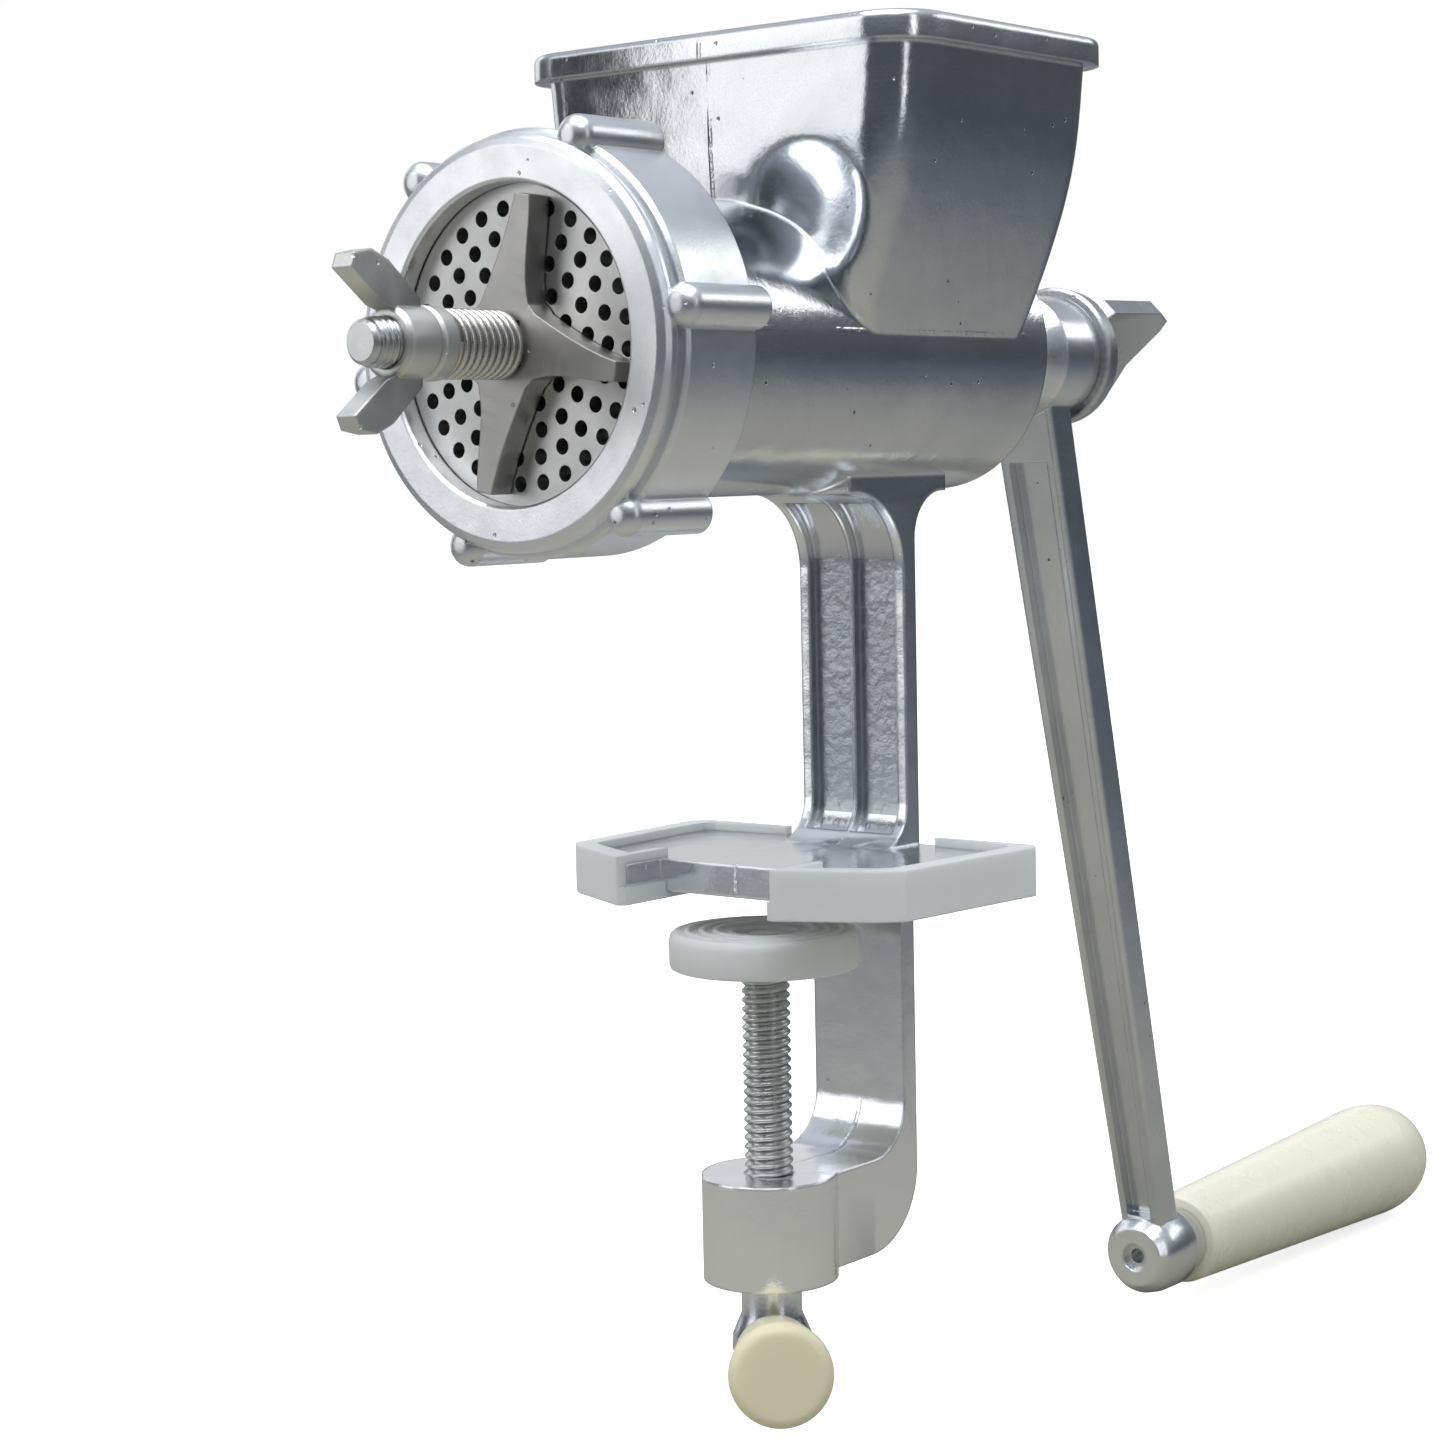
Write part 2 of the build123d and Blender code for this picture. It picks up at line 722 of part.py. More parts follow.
with BuildPart() as clamp_lever:
    # Socket on the end of the screw with a short arm for the grip
    socket_profile = (
        (0, boss_bottom - 0.4),
        (6.9, boss_bottom - 0.4),
        (6.9, lever_z + 8.0),
        (9.0, lever_z + 3.0),
        (9.2, lever_z),
        (8.4, lever_z - 4.5),
        (6.2, lever_z - 7.6),
        (2.5, lever_z - 9.2),
        (0, lever_z - 9.3),
    )
    with BuildSketch(Plane.XZ):
        with BuildLine():
            Polyline(*socket_profile, close=True)
        make_face()
    revolve(axis=Axis.Z)
    with BuildSketch(along_lever(0.0)):
        Circle(5.0)
    extrude(amount=31.0)
    with BuildSketch(Plane.XY.offset(lever_z - 5.0)):
        Circle(tenon_radius)
    extrude(amount=boss_bottom - lever_z + 5.0, mode=Mode.SUBTRACT)
    with BuildSketch(Plane.YZ.rotated((0, 0, lever_heading))):
        with Locations((0, lever_pin_z)):
            Circle(1.5)
    extrude(amount=20.0, both=True, mode=Mode.SUBTRACT)


with BuildPart() as lever_pin:
    with BuildSketch(Plane.YZ.rotated((0, 0, lever_heading))):
        with Locations((0, lever_pin_z)):
            Circle(1.5)
    extrude(amount=7.0, both=True)


with BuildPart() as clamp_grip:
    with BuildSketch(along_lever(12.0)):
        Circle(9.2)
    with BuildSketch(along_lever(31.5)):
        Circle(11.6)
    loft()
    with BuildSketch(along_lever(31.5)):
        Circle(11.6)
    extrude(amount=3.2)
    end_edge = clamp_grip.edges().filter_by(GeomType.CIRCLE).sort_by_distance(along_lever(34.7).origin)[0]
    fillet(end_edge, radius=2.8)
    with BuildSketch(along_lever(10.0)):
        Circle(5.0)
    extrude(amount=21.0, mode=Mode.SUBTRACT)


nodes = {
    "main_casting": main_casting,
    "plate_key": plate_key,
    "rear_bush": rear_bush,
    "ring_nut": ring_nut,
    "die_plate": die_plate,
    "cutter_knife": cutter_knife,
    "front_stud": front_stud,
    "pressure_spring": pressure_spring,
    "spring_collar": spring_collar,
    "wing_nut": wing_nut,
    "auger": auger,
    "thrust_washer": thrust_washer,
    "crank_arm": crank_arm,
    "crank_screw": crank_screw,
    "grip_pin": grip_pin,
    "crank_grip": crank_grip,
    "jaw_pad_right": jaw_pad_right,
    "jaw_pad_left": jaw_pad_left,
    "clamp_foot": clamp_foot,
    "foot_retainer": foot_retainer,
    "clamp_screw": clamp_screw,
    "clamp_lever": clamp_lever,
    "lever_pin": lever_pin,
    "clamp_grip": clamp_grip,
}

os.makedirs("parts", exist_ok=True)
for node_name, node in nodes.items():
    node.part.label = node_name
    export_step(node.part, f"parts/{node_name}.step")
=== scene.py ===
import math

import bmesh
import bpy
from mathutils import Matrix, Vector


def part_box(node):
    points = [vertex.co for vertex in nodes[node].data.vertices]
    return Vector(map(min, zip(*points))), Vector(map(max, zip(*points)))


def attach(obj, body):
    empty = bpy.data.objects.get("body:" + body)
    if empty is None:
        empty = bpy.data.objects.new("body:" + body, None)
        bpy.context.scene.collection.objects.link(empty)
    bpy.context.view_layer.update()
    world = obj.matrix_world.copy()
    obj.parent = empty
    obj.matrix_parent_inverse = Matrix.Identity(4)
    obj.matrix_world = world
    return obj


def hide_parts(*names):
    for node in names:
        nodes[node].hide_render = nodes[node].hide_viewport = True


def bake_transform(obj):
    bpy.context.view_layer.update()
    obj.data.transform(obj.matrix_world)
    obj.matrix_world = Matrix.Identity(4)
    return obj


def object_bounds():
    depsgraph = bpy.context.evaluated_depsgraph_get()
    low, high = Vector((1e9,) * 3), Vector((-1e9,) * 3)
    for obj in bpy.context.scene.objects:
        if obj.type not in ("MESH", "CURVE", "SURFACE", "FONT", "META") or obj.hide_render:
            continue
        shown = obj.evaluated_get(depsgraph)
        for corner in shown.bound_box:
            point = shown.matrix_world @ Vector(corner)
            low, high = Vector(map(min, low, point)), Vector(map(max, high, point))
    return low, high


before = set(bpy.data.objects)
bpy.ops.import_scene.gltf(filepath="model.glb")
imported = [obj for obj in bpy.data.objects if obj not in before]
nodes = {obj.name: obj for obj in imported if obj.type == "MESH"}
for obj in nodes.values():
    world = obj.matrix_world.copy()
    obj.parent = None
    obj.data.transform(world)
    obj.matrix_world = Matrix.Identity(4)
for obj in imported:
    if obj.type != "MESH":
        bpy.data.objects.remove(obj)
cad_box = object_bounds()

AXIS_Z = 0.1225  # height of the barrel axis
FRONT_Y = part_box("ring_nut")[0].y
ALONG_BARREL = Matrix.Translation((0, 0, AXIS_Z)) @ Matrix.Rotation(math.radians(-90), 4, "X")

WELD_DISTANCE = 0.000002
RING_SPLIT_DEGREES = 18
CAD_SPLIT_DEGREES = 28
PIECE_SPLIT_DEGREES = 40


# ---------------------------------------------------------------- materials


class Shader:
    """Small helper that builds one node material and links its sockets by name."""

    def __init__(self, name, base, metallic, roughness):
        self.material = bpy.data.materials.new(name)
        self.material.use_nodes = True
        self.tree = self.material.node_tree
        self.bsdf = next(n for n in self.tree.nodes if n.type == "BSDF_PRINCIPLED")
        self.bsdf.inputs["Base Color"].default_value = (*base, 1)
        self.bsdf.inputs["Metallic"].default_value = metallic
        self.bsdf.inputs["Roughness"].default_value = roughness
        self.place = self.tree.nodes.new("ShaderNodeTexCoord").outputs["Object"]

    def link(self, source, target):
        self.tree.links.new(source, target)

    def add(self, kind, **values):
        node = self.tree.nodes.new(kind)
        for key, value in values.items():
            setattr(node, key, value)
        return node

    def noise(self, scale, detail=3.0, rough=0.55, distortion=0.0):
        node = self.add("ShaderNodeTexNoise")
        node.inputs["Scale"].default_value = scale
        node.inputs["Detail"].default_value = detail
        node.inputs["Roughness"].default_value = rough
        node.inputs["Distortion"].default_value = distortion
        self.link(self.place, node.inputs["Vector"])
        return node.outputs["Fac"]

    def cells(self, scale):
        node = self.add("ShaderNodeTexVoronoi")
        node.inputs["Scale"].default_value = scale
        self.link(self.place, node.inputs["Vector"])
        return node

    def remap(self, value, low, high, to_low, to_high, smooth=False):
        node = self.add("ShaderNodeMapRange")
        if smooth:
            node.interpolation_type = "SMOOTHSTEP"
        for key, number in (("From Min", low), ("From Max", high), ("To Min", to_low), ("To Max", to_high)):
            node.inputs[key].default_value = number
        self.link(value, node.inputs["Value"])
        return node.outputs["Result"]

    def maths(self, operation, a, b=None):
        node = self.add("ShaderNodeMath", operation=operation)
        for socket, value in zip(node.inputs, (a, b)):
            if isinstance(value, (int, float)):
                socket.default_value = value
            elif value is not None:
                self.link(value, socket)
        return node.outputs["Value"]

    def mix(self, factor, a, b):
        node = self.add("ShaderNodeMix", data_type="RGBA")
        colours = [s for s in node.inputs if s.type == "RGBA"]
        self.link(factor, node.inputs["Factor"])
        for socket, value in zip(colours, (a, b)):
            if isinstance(value, tuple):
                socket.default_value = (*value, 1)
            else:
                self.link(value, socket)
        return next(s for s in node.outputs if s.type == "RGBA")

    def pits(self, scale, size, amount):
        """Scattered round pits: 1 inside a pit, 0 outside. amount is the share of cells that hold one."""
        cell = self.cells(scale)
        separate = self.add("ShaderNodeSeparateColor")
        self.link(cell.outputs["Color"], separate.inputs["Color"])
        chosen = self.maths("LESS_THAN", separate.outputs["Red"], amount)
        inside = self.remap(cell.outputs["Distance"], size * 0.5, size, 1.0, 0.0, smooth=True)
        return self.maths("MULTIPLY", chosen, inside)

    def surface(self, edge_radius, heights):
        """Rounded edges plus a chain of bumps, each (height, strength, distance)."""
        bevel = self.add("ShaderNodeBevel", samples=6)
        bevel.inputs["Radius"].default_value = edge_radius
        normal = bevel.outputs["Normal"]
        for height, strength, distance in heights:
            bump = self.add("ShaderNodeBump")
            bump.inputs["Strength"].default_value = strength
            bump.inputs["Distance"].default_value = distance
            self.link(height, bump.inputs["Height"])
            self.link(normal, bump.inputs["Normal"])
            normal = bump.outputs["Normal"]
        self.link(normal, self.bsdf.inputs["Normal"])

    def bump_over(self, height, strength, distance):
        """One more bump on top of the normal that the surface already has."""
        bump = self.add("ShaderNodeBump")
        bump.inputs["Strength"].default_value = strength
        bump.inputs["Distance"].default_value = distance
        self.link(height, bump.inputs["Height"])
        self.link(self.fed("Normal"), bump.inputs["Normal"])
        self.link(bump.outputs["Normal"], self.bsdf.inputs["Normal"])

    def fed(self, name):
        """The socket that feeds an input of the surface shader now."""
        return self.bsdf.inputs[name].links[0].from_socket

    def between(self, socket, low, high):
        """1 where a value lies between two limits, 0 elsewhere."""
        return self.maths(
            "MULTIPLY",
            self.maths("GREATER_THAN", socket, low),
            self.maths("LESS_THAN", socket, high),
        )

    def worn(self, colour, lighter, low=0.52, high=0.6):
        """Edges that handling has polished are lighter."""
        point = self.add("ShaderNodeNewGeometry").outputs["Pointiness"]
        return self.mix(self.remap(point, low, high, 0.0, 1.0), colour, lighter)

    def colour(self, value):
        self.link(value, self.bsdf.inputs["Base Color"])

    def roughness(self, value):
        self.link(value, self.bsdf.inputs["Roughness"])


def metal(name, light, dark, rough, grain, pit_share=0.0, edge=0.0006, wave=0.00025, speck=0.0):
    """Cast or plated metal: tone patches, fine grain, pits and rounded, polished edges."""
    s = Shader(name, light, 1.0, rough[0])
    patches = s.noise(28.0, 5.0, 0.6, distortion=0.4)
    tone = s.mix(s.remap(patches, 0.35, 0.7, 0.0, 1.0), dark, light)
    fine = s.noise(2600.0, 2.0)
    tone = s.mix(s.remap(fine, 0.3 - speck, 0.62 + speck, 0.85, 0.0), tone, dark)
    heights = [(s.noise(60.0, 2.0), 0.5, wave), (s.noise(grain, 4.0, 0.65), 0.35, 0.00012)]
    if pit_share:
        pits = s.pits(420.0, 0.22, pit_share)
        tone = s.mix(pits, tone, tuple(c * 0.35 for c in dark))
        heights.append((s.maths("SUBTRACT", 1.0, pits), 0.7, 0.0003))
    s.colour(s.worn(tone, tuple(min(1.0, c * 1.12) for c in light)))
    s.roughness(s.remap(s.noise(90.0, 6.0, 0.7), 0.25, 0.75, rough[0], rough[1]))
    s.surface(edge, heights)
    return s


def seamed(s, gates, depth):
    """Mould seams: thin rough ridges where a coordinate passes a value, over a stretch of another one."""
    split = s.add("ShaderNodeSeparateXYZ")
    s.link(s.place, split.inputs["Vector"])
    ridge = None
    rough = s.maths(
        "MULTIPLY",
        s.remap(s.noise(700.0, 3.0), 0.35, 0.6, 0.2, 1.0),
        s.remap(s.noise(38.0, 2.0), 0.45, 0.6, 0.0, 1.0),
    )
    for axis, value, other, low, high in gates:
        away = s.maths("ABSOLUTE", s.maths("SUBTRACT", split.outputs[axis], value))
        line = s.remap(away, 0.0002, 0.0007, 1.0, 0.0, smooth=True)
        inside = s.between(split.outputs[other], low, high)
        line = s.maths("MULTIPLY", s.maths("MULTIPLY", line, inside), rough)
        ridge = line if ridge is None else s.maths("MAXIMUM", ridge, line)
    s.bump_over(ridge, 0.45, depth)
    return s


def as_cast(s, low, high, tone, extra):
    """Inside a box the casting is unpolished: darker, rougher and lightly hammered."""
    split = s.add("ShaderNodeSeparateXYZ")
    s.link(s.place, split.inputs["Vector"])
    mask = None
    for axis, start, end in zip("XYZ", low, high):
        inside = s.between(split.outputs[axis], start, end)
        mask = inside if mask is None else s.maths("MULTIPLY", mask, inside)
    s.colour(s.mix(s.maths("MULTIPLY", mask, 0.8), s.fed("Base Color"), tone))
    s.roughness(s.maths("ADD", s.fed("Roughness"), s.maths("MULTIPLY", mask, extra)))
    s.bump_over(s.maths("MULTIPLY", s.noise(420.0, 3.0), mask), 0.5, 0.0006)


def plastic(name, base, shade, rough, soft, edge, grain, depth, swell=0.0003):
    """Moulded plastic: slight tone drift, fine surface grain, scuffs in the gloss, light that soaks in."""
    s = Shader(name, base, 0.0, rough[0])
    s.bsdf.inputs["Subsurface Weight"].default_value = soft
    s.bsdf.inputs["Subsurface Radius"].default_value = (0.006, 0.005, 0.004)
    s.bsdf.inputs["Subsurface Scale"].default_value = 1.0
    s.bsdf.inputs["IOR"].default_value = 1.49
    drift = s.remap(s.noise(22.0, 4.0, 0.6), 0.3, 0.7, 0.0, 1.0)
    s.colour(s.worn(s.mix(drift, shade, base), tuple(min(1.0, c * 1.06) for c in base)))
    scuffs = s.noise(60.0, 6.0, 0.7)
    s.roughness(s.remap(scuffs, 0.35, 0.7, rough[0], rough[1]))
    s.surface(edge, [(s.noise(45.0, 2.0), 0.4, swell), (s.noise(grain, 3.0), 0.3, depth)])
    return s


aluminium = (0.80, 0.81, 0.83)
aluminium_dark = (0.62, 0.64, 0.67)
casting = seamed(
    metal("cast_aluminium", aluminium, aluminium_dark, (0.10, 0.20), 900.0, 0.035, 0.0011, 0.0007, 0.05),
    [("X", 0.0, "Y", -0.06, 0.03), ("Z", AXIS_Z + 0.003, "Y", -0.05, 0.07), ("X", 0.0, "Z", -0.06, 0.0)],
    0.0003,
)
as_cast(casting, (-0.0124, 0.0370, 0.012), (0.0124, 0.0380, 0.075), (0.40, 0.42, 0.45), 0.16)
arm_metal = metal(
    "cast_arm", aluminium, aluminium_dark, (0.16, 0.30),
    900.0, 0.02, 0.0009, 0.0004, 0.05,
)
ring_metal = metal(
    "turned_aluminium", (0.84, 0.85, 0.87), (0.72, 0.74, 0.76), (0.24, 0.40),
    1400.0, 0.08, 0.0006, 0.0002, 0.1,
)
plate_metal = metal(
    "plate_steel", (0.52, 0.52, 0.51), (0.40, 0.40, 0.39), (0.30, 0.45),
    2200.0, 0.0, 0.0002, 0.0001, 0.1,
)
knife_metal = metal(
    "knife_steel", (0.46, 0.45, 0.43), (0.32, 0.31, 0.30), (0.38, 0.55),
    1600.0, 0.05, 0.0004, 0.0003, 0.1,
)
spring_metal = metal(
    "spring_steel", (0.66, 0.64, 0.60), (0.42, 0.40, 0.37), (0.16, 0.30),
    2400.0, 0.0, 0.0001, 0.0001,
)
nickel = metal(
    "nickel", (0.68, 0.68, 0.65), (0.50, 0.50, 0.48), (0.30, 0.48),
    1500.0, 0.06, 0.0007, 0.0003, 0.15,
)
zinc = metal(
    "zinc", (0.66, 0.67, 0.66), (0.46, 0.47, 0.47), (0.22, 0.38),
    2000.0, 0.0, 0.0002, 0.0001, 0.1,
)
zinc_cast = metal(
    "zinc_casting", (0.64, 0.65, 0.67), (0.44, 0.45, 0.47), (0.26, 0.42),
    1200.0, 0.12, 0.0008, 0.0004, 0.2,
)
bronze = metal(
    "bronze", (0.60, 0.48, 0.30), (0.45, 0.35, 0.22), (0.32, 0.5),
    1800.0, 0.05, 0.0002, 0.0001,
)
milky = plastic(
    "milky_plastic", (0.84, 0.86, 0.86), (0.77, 0.79, 0.79), (0.38, 0.52),
    0.35, 0.0007, 1500.0, 0.00008,
)
ivory = plastic(
    "ivory_plastic", (0.88, 0.86, 0.71), (0.86, 0.835, 0.68), (0.24, 0.31),
    0.25, 0.0006, 900.0, 0.00003, 0.00008,
)
beige = plastic(
    "beige_plastic", (0.88, 0.81, 0.58), (0.85, 0.78, 0.545), (0.28, 0.36),
    0.25, 0.0008, 900.0, 0.00003, 0.00008,
)

finishes = {
    "main_casting": casting,
    "ring_nut": ring_metal,
    "die_plate": plate_metal,
    "cutter_knife": knife_metal,
    "spring_collar": nickel,
    "wing_nut": nickel,
    "auger": arm_metal,
    "crank_arm": arm_metal,
    "crank_screw": zinc_cast,
    "clamp_lever": arm_metal,
    "rear_bush": bronze,
    "crank_grip": ivory,
    "clamp_grip": beige,
    "jaw_pad_right": milky,
    "jaw_pad_left": milky,
    "clamp_foot": milky,
    "pressure_spring": spring_metal,
}

for name, cad in nodes.items():
    cad.data.materials.clear()
    cad.data.materials.append(finishes.get(name, zinc).material)
    cad.data.polygons.foreach_set("use_smooth", [True] * len(cad.data.polygons))
    weld = cad.modifiers.new("weld", "WELD")
    weld.merge_threshold = WELD_DISTANCE
    split = cad.modifiers.new("split", "EDGE_SPLIT")
    split.split_angle = math.radians(RING_SPLIT_DEGREES if name == "ring_nut" else CAD_SPLIT_DEGREES)


# ---------------------------------------------------------------- detail pieces


def mesh_from(name, bm, material):
    """A mesh with one material from a bmesh, which is freed."""
    mesh = bpy.data.meshes.new(name)
    bm.to_mesh(mesh)
    bm.free()
    mesh.materials.append(material)
    return mesh


def piece(name, bm, shader, body, transform=None, replaced=()):
    """Turns a bmesh into a finished piece that rides on a body, or is left free when the body is None."""
    bmesh.ops.recalc_face_normals(bm, faces=bm.faces)
    mesh = mesh_from(name, bm, shader.material)
    if transform:
        mesh.transform(transform)
    mesh.polygons.foreach_set("use_smooth", [True] * len(mesh.polygons))
    obj = bpy.data.objects.new(name, mesh)
    bpy.context.scene.collection.objects.link(obj)
    split = obj.modifiers.new("split", "EDGE_SPLIT")
    split.split_angle = math.radians(PIECE_SPLIT_DEGREES)
    if body:
        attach(obj, body)
    if replaced:
        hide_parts(*replaced)
    return obj


def skin(bm, rings, closed_ends=True):
    """Joins rings of points, each a list of vertices, into a tube."""
    count = len(rings[0])
    for lower, upper in zip(rings, rings[1:]):
        for i in range(count):
            j = (i + 1) % count
            bm.faces.new((lower[i], lower[j], upper[j], upper[i]))
    if closed_ends:
        bm.faces.new(rings[0])
        bm.faces.new(rings[-1])


def circles(bm, profile, steps):
    """One circle of vertices about local Z for each (radius, height) point."""
    rings = []
    for radius, height in profile:
        rings.append([
            bm.verts.new((radius * math.cos(a), radius * math.sin(a), height))
            for a in (2 * math.pi * i / steps for i in range(steps))
        ])
    return rings


def lathe(bm, profile, steps):
    """Closed body of revolution about local Z from (radius, height) points, flat at both ends."""
    skin(bm, circles(bm, profile, steps))


def threaded(bm, start, end, major, minor, pitch, steps=40, per_turn=10):
    """A screw thread with rounded crests about local Z, fading out at both ends."""
    rows = max(2, int(abs(end - start) / pitch * per_turn))
    rings = []
    for row in range(rows + 1):
        height = start + (end - start) * row / rows
        fade = min(1.0, min(row, rows - row) / per_turn)
        ring = []
        for i in range(steps):
            turn = 2 * math.pi * i / steps
            phase = (height / pitch - i / steps) % 1.0
            crest = 1.0 - abs(2 * phase - 1.0)
            crest = min(1.0, max(0.0, (crest - 0.12) / 0.7))
            radius = minor + (major - minor) * crest * fade
            ring.append(bm.verts.new((radius * math.cos(turn), radius * math.sin(turn), height)))
        rings.append(ring)
    skin(bm, rings)


def helix_tube(bm, wire, mean, start, end, turns, dead, steps=28, sides=12):
    """A compression spring about local Z whose end coils lie closed."""
    closing = 2 * wire * 1.02
    rings = []
    for i in range(int(turns * steps) + 1):
        t = i / steps
        live = min(max((t - dead) / (turns - 2 * dead), 0.0), 1.0)
        ends = min(t, dead) * closing + max(0.0, t - (turns - dead)) * closing
        height = start + ends + live * (end - start - 2 * dead * closing)
        turn = 2 * math.pi * t
        out = Vector((math.cos(turn), math.sin(turn), 0))
        ring = []
        for k in range(sides):
            a = 2 * math.pi * k / sides
            rise = Vector((0, 0, height + wire * math.sin(a)))
            ring.append(bm.verts.new(out * (mean + wire * math.cos(a)) + rise))
        rings.append(ring)
    skin(bm, rings)


# Clamp screw with its rolled thread
low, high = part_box("clamp_screw")
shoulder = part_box("clamp_foot")[0].z - 0.0001
thread_low_z = -0.0868
bm = bmesh.new()
threaded(bm, thread_low_z, shoulder - 0.0012, 0.0055, 0.0047, 0.0021)
lathe(bm, [(0.0046, shoulder - 0.0016), (0.0053, shoulder - 0.0008), (0.0053, shoulder)], 48)
lathe(bm, [(0.0035, shoulder), (0.0035, high.z - 0.0006), (0.0029, high.z)], 48)
lathe(bm, [(0.0045, low.z), (0.0045, thread_low_z + 0.0002)], 48)
piece("clamp_screw_thread", bm, zinc, "clamp", replaced=("clamp_screw",))

# Stud through knife, spring and wing nut
low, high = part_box("front_stud")
knife_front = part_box("cutter_knife")[0].y
bm = bmesh.new()
threaded(bm, low.y + 0.0010, knife_front - 0.0002, 0.0050, 0.0044, 0.0016)
lathe(bm, [(0.0037, low.y), (0.0044, low.y + 0.0007), (0.0044, low.y + 0.0014)], 48)
lathe(bm, [(0.0046, knife_front), (0.0046, FRONT_Y + 0.005)], 4)
lathe(bm, [(0.0064, FRONT_Y + 0.0052), (0.0064, FRONT_Y + 0.0122)], 48)
lathe(bm, [(0.0054, FRONT_Y + 0.0122), (0.0054, high.y)], 48)
piece("front_stud_thread", bm, zinc, "drive", ALONG_BARREL, ("front_stud",))

# Pressure spring with closed end coils, left free of any body
low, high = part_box("pressure_spring")
bm = bmesh.new()
helix_tube(bm, 0.00085, 0.0062, low.y + 0.0009, high.y - 0.0009, 9.5, 0.9)
coil = piece(
    "pressure_spring_coil", bm, spring_metal, None, ALONG_BARREL, ("pressure_spring",)
)
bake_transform(coil)

# Clamp foot with plain moulded rings on its face
low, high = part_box("clamp_foot")
hole_radius = 0.00356
rim_radius = 0.0216
groove_z = high.z - 0.0008
profile = [
    (hole_radius, low.z),
    (0.0206, low.z),
    (0.0213, low.z + 0.0003),
    (rim_radius, low.z + 0.0010),
    (rim_radius, high.z - 0.0022),
    (0.0213, high.z - 0.0010),
    (0.0205, high.z - 0.0003),
    (0.0194, high.z - 0.0002),
]
for ring in (0.0182, 0.0150, 0.0118):
    profile += [(ring, groove_z), (ring - 0.0002, high.z), (ring - 0.0012, high.z), (ring - 0.0014, groove_z)]
profile += [
    (0.0080, groove_z),
    (0.0074, high.z - 0.0004),
    (0.0070, high.z - 0.0010),
    (0.0070, high.z - 0.0034),
    (hole_radius, high.z - 0.0034),
]
bm = bmesh.new()
rings = circles(bm, profile, 128)
skin(bm, rings + [rings[0]], closed_ends=False)
piece("clamp_foot_disc", bm, milky, "foot", replaced=("clamp_foot",))


# ---------------------------------------------------------------- stage


def softbox(name, centre, width, height, radiance):
    """An even area light that shows as a bright panel in the metal, aimed just above the jaw."""
    data = bpy.data.lights.new(name, "AREA")
    data.shape = "RECTANGLE"
    data.size = width
    data.size_y = height
    data.energy = radiance * math.pi * width * height
    obj = bpy.data.objects.new(name, data)
    centre = Vector(centre)
    aim = (centre - Vector((0, 0, 0.05))).to_track_quat("Z", "Y").to_matrix().to_4x4()
    obj.matrix_world = Matrix.Translation(centre) @ aim
    bpy.context.scene.collection.objects.link(obj)
    obj.visible_camera = False


def stage_node(tree, kind, **inputs):
    """Adds a shader node and sets its inputs by name, with _ for a space."""
    node = tree.nodes.new(kind)
    for key, value in inputs.items():
        node.inputs[key.replace("_", " ")].default_value = value
    return node


# Floor: white to the camera, and darker, the more so further out, to the metal that mirrors it
floor_z = cad_box[0][2] - 0.0005
bm = bmesh.new()
bmesh.ops.create_circle(bm, cap_ends=True, radius=12.0, segments=96)
paper = bpy.data.materials.new("floor_paper")
paper.use_nodes = True
tree = paper.node_tree
tree.nodes.clear()
output = tree.nodes.new("ShaderNodeOutputMaterial")
mixer = tree.nodes.new("ShaderNodeMixShader")
seen = stage_node(
    tree,
    "ShaderNodeBsdfPrincipled",
    Base_Color=(0.9, 0.9, 0.9, 1),
    Roughness=0.9,
    Emission_Color=(1, 1, 1, 1),
    Emission_Strength=0.75,
)
mirrored = stage_node(tree, "ShaderNodeBsdfPrincipled", Roughness=0.9)
length = tree.nodes.new("ShaderNodeVectorMath")
length.operation = "LENGTH"
falloff = stage_node(tree, "ShaderNodeMapRange", From_Min=0.15, From_Max=1.1)
tone = tree.nodes.new("ShaderNodeMix")
tone.data_type = "RGBA"
tones = [socket for socket in tone.inputs if socket.type == "RGBA"]
tones[0].default_value = (0.36, 0.345, 0.29, 1)
tones[1].default_value = (0.11, 0.12, 0.14, 1)
place = tree.nodes.new("ShaderNodeTexCoord")
ray = tree.nodes.new("ShaderNodeLightPath")
tree.links.new(place.outputs["Object"], length.inputs[0])
tree.links.new(length.outputs["Value"], falloff.inputs["Value"])
tree.links.new(falloff.outputs["Result"], tone.inputs["Factor"])
tree.links.new(next(o for o in tone.outputs if o.type == "RGBA"), mirrored.inputs["Base Color"])
tree.links.new(ray.outputs["Is Camera Ray"], mixer.inputs["Fac"])
tree.links.new(mirrored.outputs["BSDF"], mixer.inputs[1])
tree.links.new(seen.outputs["BSDF"], mixer.inputs[2])
tree.links.new(mixer.outputs["Shader"], output.inputs["Surface"])
floor = bpy.data.objects.new("floor", mesh_from("floor", bm, paper))
floor.location = (0, 0, floor_z)
bpy.context.scene.collection.objects.link(floor)

softbox("key", (-1.12, -1.34, 0.60), 0.95, 1.45, 1.2)
softbox("top", (0.1, -0.5, 2.0), 2.2, 2.0, 2.9)
softbox("right_strip", (1.6, -0.36, 0.50), 0.26, 1.2, 1.5)
softbox("left_side", (-1.7, 0.35, 0.5), 0.9, 1.4, 0.8)
softbox("back_left", (-1.2, 1.45, 0.45), 1.2, 0.9, 0.5)
softbox("back_top", (1.0, 1.5, 0.95), 1.2, 0.5, 1.6)

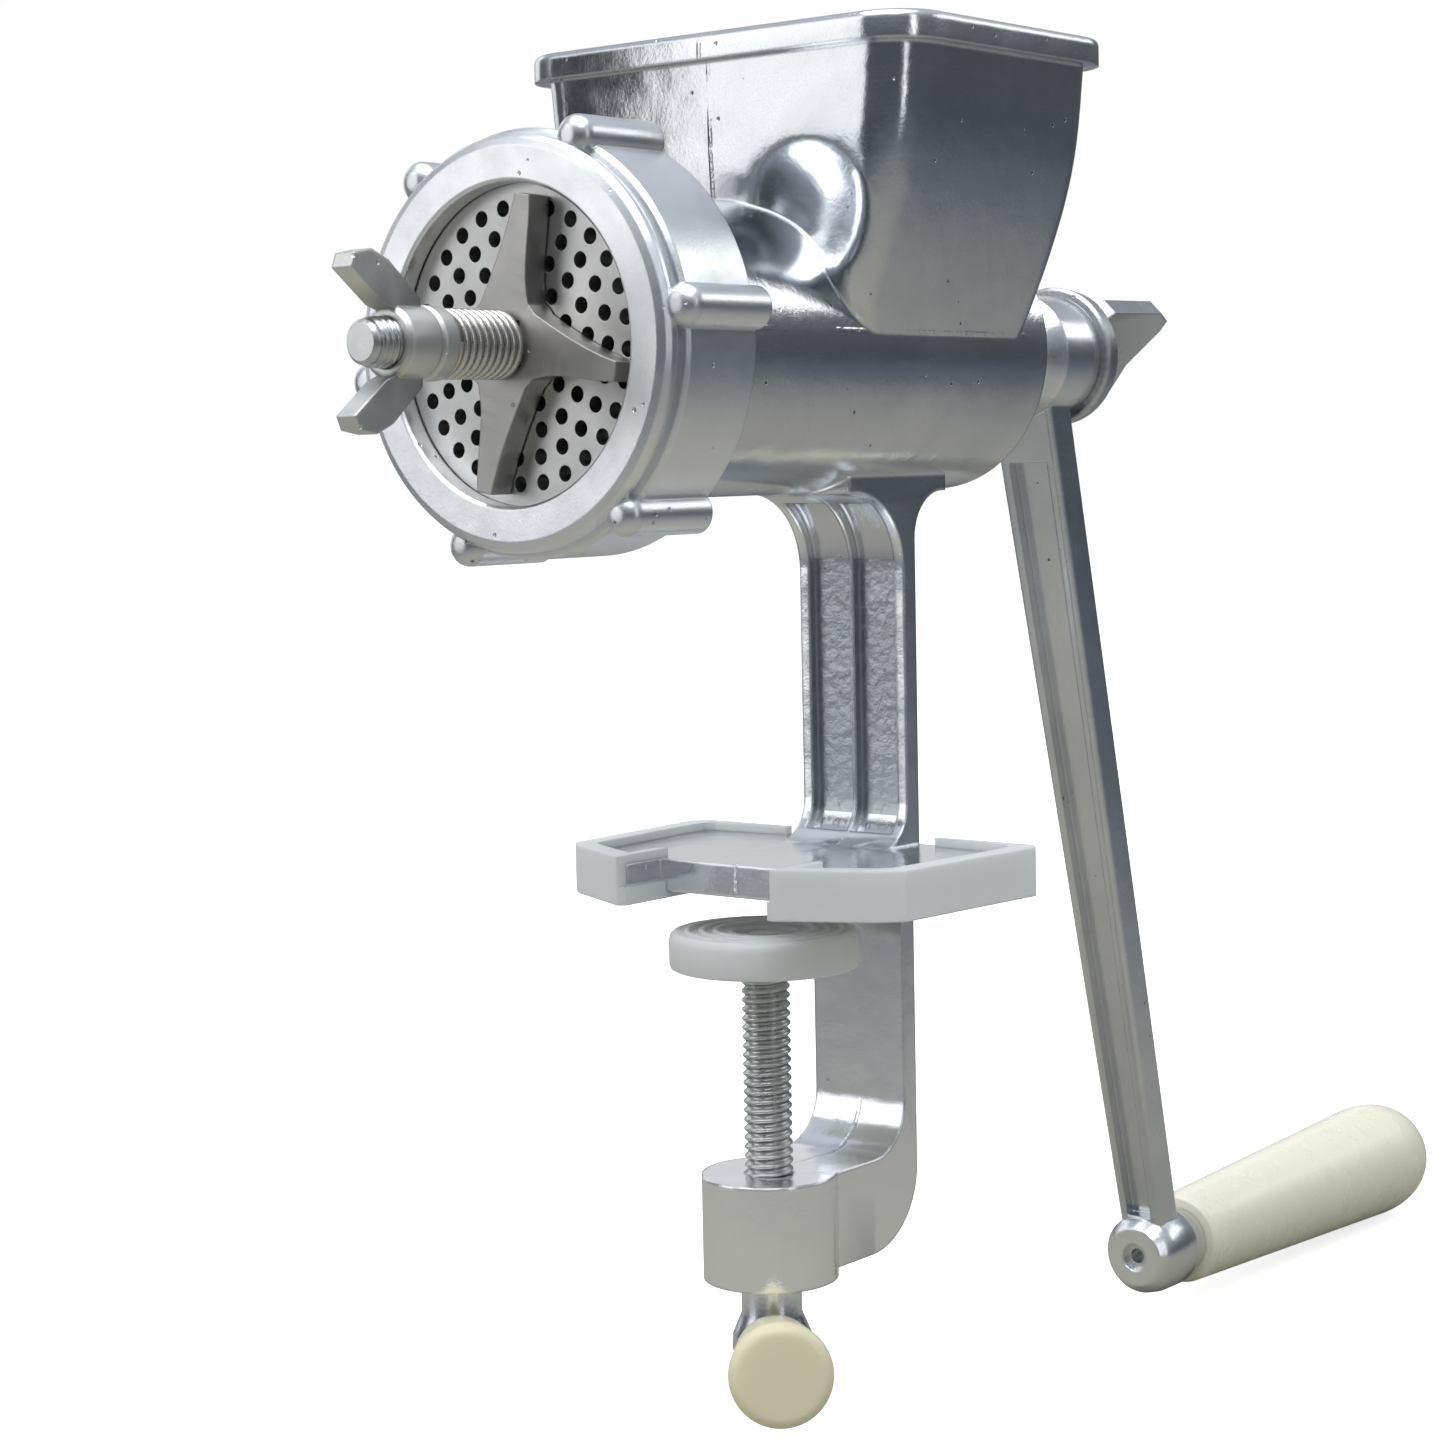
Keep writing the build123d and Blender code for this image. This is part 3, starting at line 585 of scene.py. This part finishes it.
# A small dark card, seen only in reflections, shades the left end of the hopper's front face
navy = Shader("dark_card", (0.02, 0.03, 0.05), 0.0, 0.9).material
card_y = -0.13
card_corners = ((-0.19, 0.12), (-0.118, 0.15), (-0.118, 0.26), (-0.19, 0.26))
bm = bmesh.new()
bm.faces.new([bm.verts.new((x, card_y, z)) for x, z in card_corners])
flag = bpy.data.objects.new("dark_card", mesh_from("dark_card", bm, navy))
bpy.context.scene.collection.objects.link(flag)
flag.visible_camera = False
flag.visible_shadow = False
flag.visible_diffuse = False

# World: white to the camera, a dim ramp from low to high for everything else
world = bpy.data.worlds.new("studio")
bpy.context.scene.world = world
world.use_nodes = True
tree = world.node_tree
tree.nodes.clear()
output = tree.nodes.new("ShaderNodeOutputWorld")
mixer = tree.nodes.new("ShaderNodeMixShader")
seen = stage_node(tree, "ShaderNodeBackground", Color=(1, 1, 1, 1), Strength=1.0)
lit = stage_node(tree, "ShaderNodeBackground", Color=(0.84, 0.90, 1.0, 1))
height = tree.nodes.new("ShaderNodeSeparateXYZ")
ramp = stage_node(tree, "ShaderNodeMapRange", From_Min=0.0, From_Max=0.9, To_Min=0.10, To_Max=0.7)
ramp.interpolation_type = "SMOOTHSTEP"
direction = tree.nodes.new("ShaderNodeTexCoord")
path = tree.nodes.new("ShaderNodeLightPath")
tree.links.new(direction.outputs["Generated"], height.inputs["Vector"])
tree.links.new(height.outputs["Z"], ramp.inputs["Value"])
tree.links.new(ramp.outputs["Result"], lit.inputs["Strength"])
tree.links.new(path.outputs["Is Camera Ray"], mixer.inputs["Fac"])
tree.links.new(lit.outputs["Background"], mixer.inputs[1])
tree.links.new(seen.outputs["Background"], mixer.inputs[2])
tree.links.new(mixer.outputs["Shader"], output.inputs["Surface"])

# Camera in front and to the right, a little below the barrel's axis, looking slightly down
camera_place = (0.41468, -0.52231, 0.09939)
lens_mm = 74.7
yaw = math.radians(39.2)
pitch = math.radians(5.04)
roll = math.radians(-1.22)
forward = Vector((-math.sin(yaw) * math.cos(pitch), math.cos(yaw) * math.cos(pitch), -math.sin(pitch)))
right = Vector((math.cos(yaw), math.sin(yaw), 0))
up = right.cross(forward)
tilted_right = right * math.cos(roll) + up * math.sin(roll)
tilted_up = up * math.cos(roll) - right * math.sin(roll)
data = bpy.data.cameras.new("camera")
data.lens = lens_mm
data.sensor_width = 36.0
data.clip_start = 0.01
camera = bpy.data.objects.new("camera", data)
turned = Matrix((tilted_right, tilted_up, -forward)).transposed().to_4x4()
camera.matrix_world = Matrix.Translation(camera_place) @ turned
bpy.context.scene.collection.objects.link(camera)
bpy.context.scene.camera = camera
bpy.context.scene.view_settings.view_transform = "Standard"
